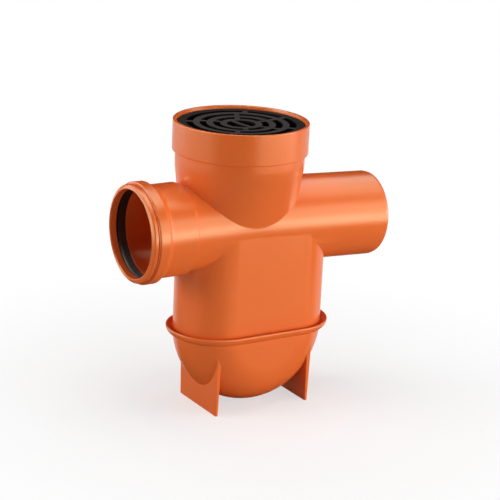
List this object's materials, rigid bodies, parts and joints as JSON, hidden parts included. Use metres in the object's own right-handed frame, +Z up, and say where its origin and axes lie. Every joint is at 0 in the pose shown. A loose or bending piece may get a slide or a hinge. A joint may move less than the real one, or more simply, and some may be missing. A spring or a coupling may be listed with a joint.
{
  "type": "gully trap",
  "caption": "Moulded drain gully with a side inlet socket, an outlet spigot, a water-seal tank on two plate feet and a round slotted grate in its top collar.",
  "frame": {"origin": "on the ground, below the middle of the whole part", "axes": "+X along the drain from the inlet socket to the outlet spigot, +Y across it, +Z up"},
  "size_m": [0.3512, 0.171, 0.3725],
  "materials": {
    "orange_pvc": "smooth glossy moulded PVC",
    "seal_rubber": "matt moulded rubber",
    "grate_plastic": "fine-grained dark moulded plastic"
  },
  "bodies": {
    "root": {"trap_body": "orange_pvc", "sump_bowl": "orange_pvc", "inlet_seal_ring": "seal_rubber", "grate": "grate_plastic"}
  },
  "joints": []
}
